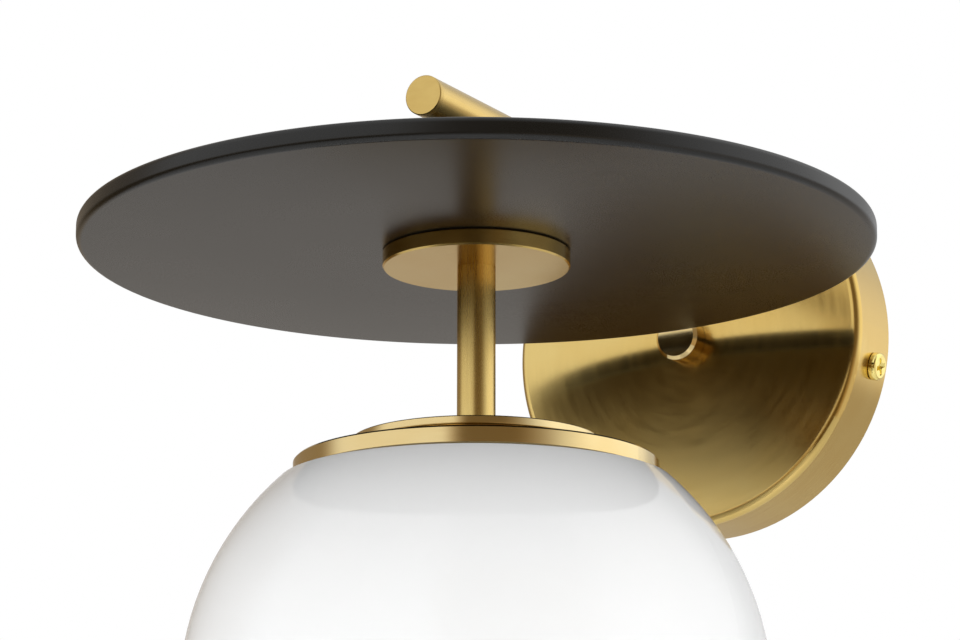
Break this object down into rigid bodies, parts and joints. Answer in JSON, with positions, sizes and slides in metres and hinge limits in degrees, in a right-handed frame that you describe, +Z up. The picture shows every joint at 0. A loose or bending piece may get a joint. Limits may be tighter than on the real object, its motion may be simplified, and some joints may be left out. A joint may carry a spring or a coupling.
{
  "type": "wall sconce",
  "caption": "Wall sconce: round brass canopy with rotary switch, horizontal arm, black disc with brass stem through it, and an opal glass globe on a twist ring.",
  "frame": {"origin": "centre of the canopy's back, on the wall plane", "axes": "+Z up, +X to the right seen from the room, +Y into the wall; the room lies at negative Y"},
  "size_m": [0.254, 0.2977, 0.303],
  "materials": {
    "brass": "brushed",
    "screw_brass": "polished",
    "zinc_steel": "satin",
    "green_metal": "satin",
    "green_plastic": "matte",
    "dark_plastic": "matte",
    "white_plastic": "matte",
    "black_plastic": "matte",
    "orange_plastic": "matte",
    "black_paint": "satin black",
    "grey_rubber": "matte",
    "opal_glass": "opal white, glossy",
    "porcelain": "glazed",
    "bulb_glass": "frosted"
  },
  "bodies": {
    "fixture": {"canopy_cup": "brass", "side_screws": "screw_brass", "wall_bracket": "zinc_steel", "ground_screw": "green_metal", "ground_wire": "green_plastic", "switch_body": "dark_plastic", "switch_nut": "zinc_steel", "arm_tube": "brass", "arm_end_plug": "brass", "arm_nipple": "zinc_steel", "arm_washer": "zinc_steel", "arm_lock_nut": "zinc_steel", "wire_bushing": "white_plastic", "upper_stem": "brass", "disc_washer": "zinc_steel", "shade_disc": "black_paint", "hub_plate": "brass", "stem_tube": "brass", "lamp_pipe": "zinc_steel", "pipe_nut": "zinc_steel", "fitter_plate": "brass", "socket_body": "porcelain", "socket_shell": "screw_brass", "socket_contact": "screw_brass", "bulb_base": "zinc_steel", "bulb_glass": "bulb_glass", "live_wire": "black_plastic", "neutral_wire": "white_plastic", "switch_lead": "black_plastic", "wire_connectors": "orange_plastic"},
    "switch_rotor": {"switch_knob": "brass", "switch_shaft": "zinc_steel"},
    "globe_unit": {"globe_ring": "brass", "globe_gasket": "grey_rubber", "globe_glass": "opal_glass"}
  },
  "joints": [
    {"name": "switch_turn", "type": "hinge", "parent": "fixture", "child": "switch_rotor", "pos_m": [0, -0.03, 0], "axis": [0, -1, 0], "range_deg": [-90, 0]},
    {"name": "globe_twist", "type": "hinge", "parent": "fixture", "child": "globe_unit", "pos_m": [0, -0.1707, -0.072], "axis": [0, 0, 1], "range_deg": [0, 30]}
  ]
}
